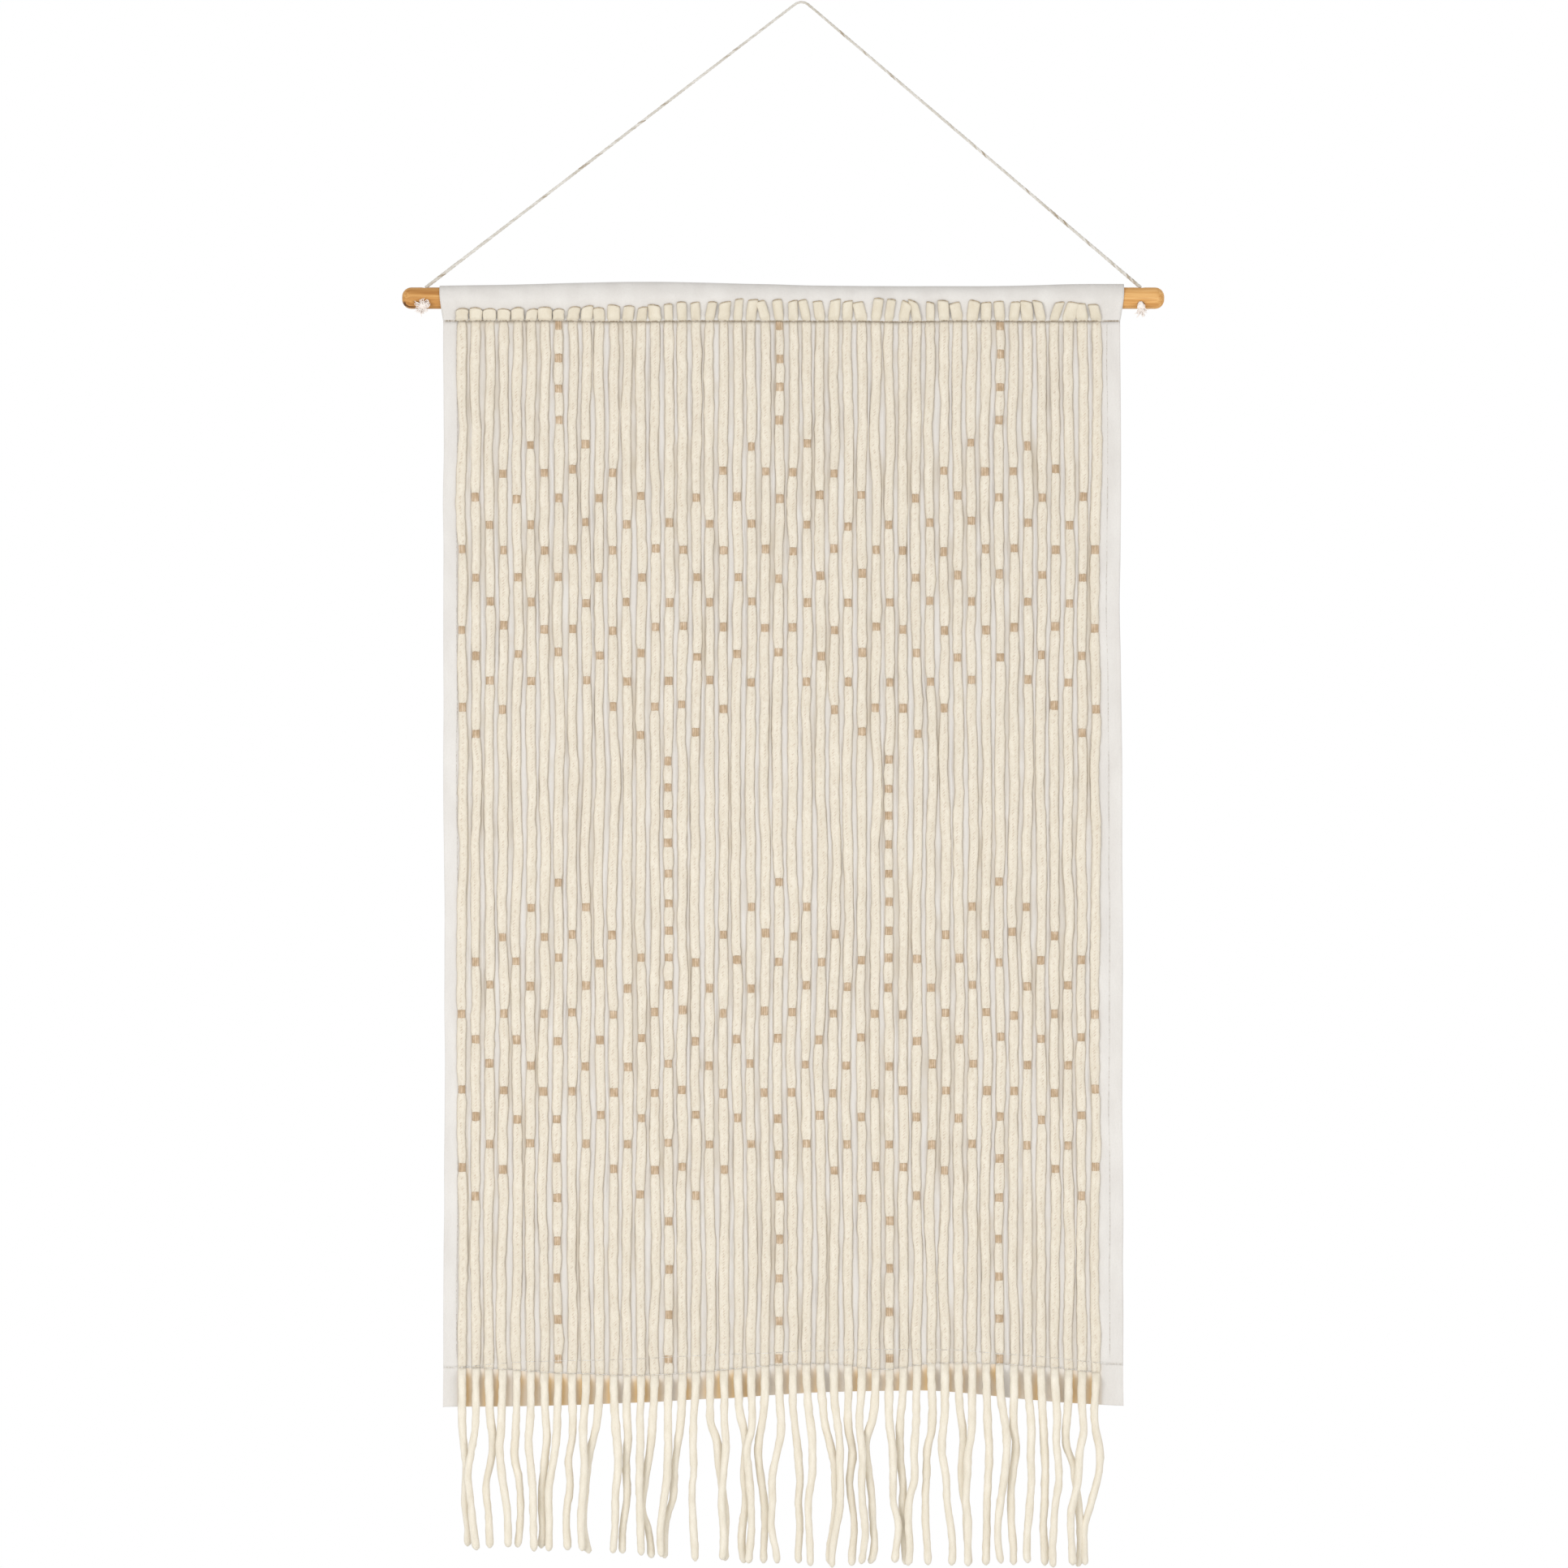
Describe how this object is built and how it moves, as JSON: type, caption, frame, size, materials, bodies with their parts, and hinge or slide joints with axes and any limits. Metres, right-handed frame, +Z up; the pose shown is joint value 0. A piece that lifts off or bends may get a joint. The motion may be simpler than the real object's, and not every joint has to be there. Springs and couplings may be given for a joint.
{
  "type": "tapestry wall hanging",
  "caption": "Tapestry wall hanging: wool yarns with small tan wraps on a cotton cloth, with a fringe below, on a wooden dowel that hangs from a knotted cord.",
  "frame": {"origin": "the underside of the cord's bend, where the wall peg or hook carries it", "axes": "+X along the dowel to the viewer's right, -Y towards the viewer, +Z up"},
  "size_m": [0.676, 0.0274, 1.3927],
  "materials": {
    "dowel_wood": "smooth sanded, clear satin",
    "cord_cotton": "twisted cotton cord, matt",
    "ground_cloth": "plain-weave cotton, matt",
    "wool_yarn": "felted wool, soft and matt",
    "accent_thread": "fine cotton thread, wrapped, matt",
    "seam_thread": "sewing thread, matt"
  },
  "bodies": {
    "hanger": {"hanging_cord": "cord_cotton"},
    "rail": {"dowel": "dowel_wood", "left_knot": "cord_cotton", "right_knot": "cord_cotton"},
    "sleeve": {"rod_pocket": "ground_cloth", "top_seam": "seam_thread", "yarn_tabs": "wool_yarn"},
    "panel": {"backing_cloth": "ground_cloth", "side_hems": "ground_cloth", "bottom_seam": "seam_thread", "accent_wraps": "accent_thread", "yarn_01": "wool_yarn", "yarn_02": "wool_yarn", "yarn_03": "wool_yarn", "yarn_04": "wool_yarn", "yarn_05": "wool_yarn", "yarn_06": "wool_yarn", "yarn_07": "wool_yarn", "yarn_08": "wool_yarn", "yarn_09": "wool_yarn", "yarn_10": "wool_yarn", "yarn_11": "wool_yarn", "yarn_12": "wool_yarn", "yarn_13": "wool_yarn", "yarn_14": "wool_yarn", "yarn_15": "wool_yarn", "yarn_16": "wool_yarn", "yarn_17": "wool_yarn", "yarn_18": "wool_yarn", "yarn_19": "wool_yarn", "yarn_20": "wool_yarn", "yarn_21": "wool_yarn", "yarn_22": "wool_yarn", "yarn_23": "wool_yarn", "yarn_24": "wool_yarn", "yarn_25": "wool_yarn", "yarn_26": "wool_yarn", "yarn_27": "wool_yarn", "yarn_28": "wool_yarn", "yarn_29": "wool_yarn", "yarn_30": "wool_yarn", "yarn_31": "wool_yarn", "yarn_32": "wool_yarn", "yarn_33": "wool_yarn", "yarn_34": "wool_yarn", "yarn_35": "wool_yarn", "yarn_36": "wool_yarn", "yarn_37": "wool_yarn", "yarn_38": "wool_yarn", "yarn_39": "wool_yarn", "yarn_40": "wool_yarn", "yarn_41": "wool_yarn", "yarn_42": "wool_yarn", "yarn_43": "wool_yarn", "yarn_44": "wool_yarn", "yarn_45": "wool_yarn", "yarn_46": "wool_yarn", "yarn_47": "wool_yarn"},
    "skirt": {"hem_flap": "ground_cloth", "fringe": "wool_yarn"}
  },
  "joints": [
    {"name": "cord_pivot", "type": "hinge", "parent": "hanger", "child": "rail", "pos_m": [-0.0165, 0, -0.2521], "axis": [1, 0, 0], "range_deg": [-45, 45]},
    {"name": "sleeve_slide", "type": "slide", "parent": "rail", "child": "sleeve", "axis": [1, 0, 0], "range_m": [-0.006, 0.006]},
    {"name": "panel_swing", "type": "hinge", "parent": "sleeve", "child": "panel", "pos_m": [-0.0176, 0, -0.2822], "axis": [1, 0, 0], "range_deg": [-60, 60]},
    {"name": "fringe_swing", "type": "hinge", "parent": "panel", "child": "skirt", "pos_m": [-0.0176, 0, -1.2131], "axis": [1, 0, 0], "range_deg": [-60, 60]}
  ]
}
